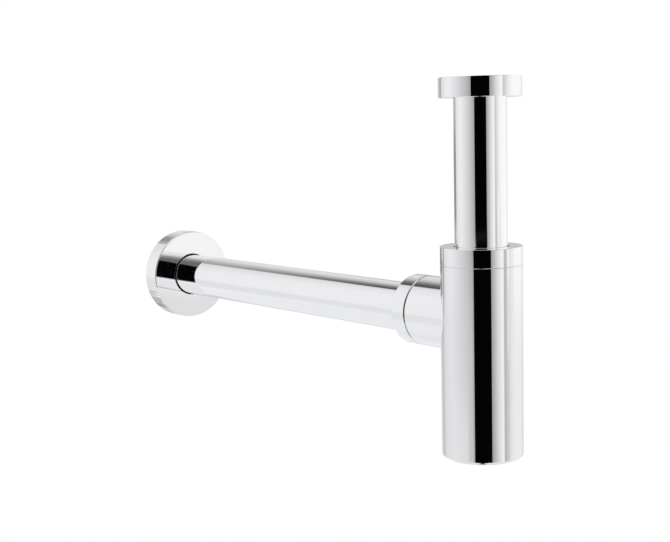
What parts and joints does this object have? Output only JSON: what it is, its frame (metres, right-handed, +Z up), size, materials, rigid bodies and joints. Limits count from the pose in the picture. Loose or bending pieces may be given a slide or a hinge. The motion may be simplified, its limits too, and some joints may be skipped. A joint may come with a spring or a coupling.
{
  "type": "bottle trap",
  "caption": "Round chromed bottle trap for a washbasin, with a sliding inlet tube, a cylindrical bottle with a side branch, and a straight outlet tube to a wall flange.",
  "frame": {"origin": "centre of the inlet nut's mouth, on the inlet tube's axis", "axes": "+Z up along the inlet, +Y along the outlet tube towards the wall"},
  "size_m": [0.07, 0.3834, 0.231],
  "materials": {
    "chrome": "polished",
    "rubber": "matte",
    "nylon": "satin"
  },
  "bodies": {
    "outlet_tube": {"outlet_tube": "chrome"},
    "wall_flange": {"wall_flange": "chrome", "flange_grip_ring": "rubber"},
    "bottle": {"bottle_body": "chrome", "bottle_cone_seal": "rubber", "outlet_cone_seal": "rubber", "dip_tube": "nylon"},
    "outlet_slip_ring": {"outlet_slip_ring": "nylon"},
    "outlet_nut": {"outlet_nut": "chrome"},
    "bottle_slip_ring": {"bottle_slip_ring": "nylon"},
    "bottle_nut": {"bottle_nut": "chrome"},
    "plug_o_ring": {"plug_o_ring": "rubber"},
    "cleaning_plug": {"cleaning_plug": "chrome"},
    "inlet_tube": {"inlet_tube": "chrome", "inlet_gasket": "rubber"},
    "inlet_slip_ring": {"inlet_slip_ring": "nylon"},
    "inlet_nut": {"inlet_nut": "chrome"}
  },
  "joints": [
    {"name": "flange_slide", "type": "slide", "parent": "outlet_tube", "child": "wall_flange", "axis": [0, 1, 0], "range_m": [-0.24, 0]},
    {"name": "wall_reach", "type": "slide", "parent": "outlet_tube", "child": "bottle", "axis": [0, 1, 0], "range_m": [-0.005, 0.008]},
    {"name": "outlet_nut_travel", "type": "slide", "parent": "bottle", "child": "outlet_slip_ring", "axis": [0, 1, 0], "range_m": [0, 0.009]},
    {"name": "outlet_nut_turn", "type": "hinge", "parent": "outlet_slip_ring", "child": "outlet_nut", "pos_m": [0, 0.0519, -0.1455], "axis": [0, 1, 0], "range_deg": [0, 2160]},
    {"name": "bottle_nut_travel", "type": "slide", "parent": "bottle", "child": "bottle_slip_ring", "axis": [0, 0, 1], "range_m": [0, 0.0075]},
    {"name": "bottle_nut_turn", "type": "hinge", "parent": "bottle_slip_ring", "child": "bottle_nut", "pos_m": [0, 0, -0.1065], "axis": [0, 0, 1], "range_deg": [0, 1800]},
    {"name": "plug_travel", "type": "slide", "parent": "bottle", "child": "plug_o_ring", "axis": [0, 0, -1], "range_m": [0, 0.009]},
    {"name": "plug_turn", "type": "hinge", "parent": "plug_o_ring", "child": "cleaning_plug", "pos_m": [0, 0, -0.2255], "axis": [0, 0, -1], "range_deg": [0, 2160]},
    {"name": "height_slide", "type": "slide", "parent": "bottle", "child": "inlet_tube", "axis": [0, 0, 1], "range_m": [-0.03, 0.04]},
    {"name": "inlet_nut_drop", "type": "slide", "parent": "inlet_tube", "child": "inlet_slip_ring", "axis": [0, 0, 1], "range_m": [-0.045, 0]},
    {"name": "inlet_nut_turn", "type": "hinge", "parent": "inlet_slip_ring", "child": "inlet_nut", "pos_m": [0, 0, -0.006], "axis": [0, 0, 1], "continuous": true}
  ],
  "couplings": [
    {"joint": "outlet_nut_travel", "follows": "outlet_nut_turn", "m_per_rad": 0.0002387},
    {"joint": "bottle_nut_travel", "follows": "bottle_nut_turn", "m_per_rad": 0.0002387},
    {"joint": "plug_travel", "follows": "plug_turn", "m_per_rad": 0.0002387}
  ]
}
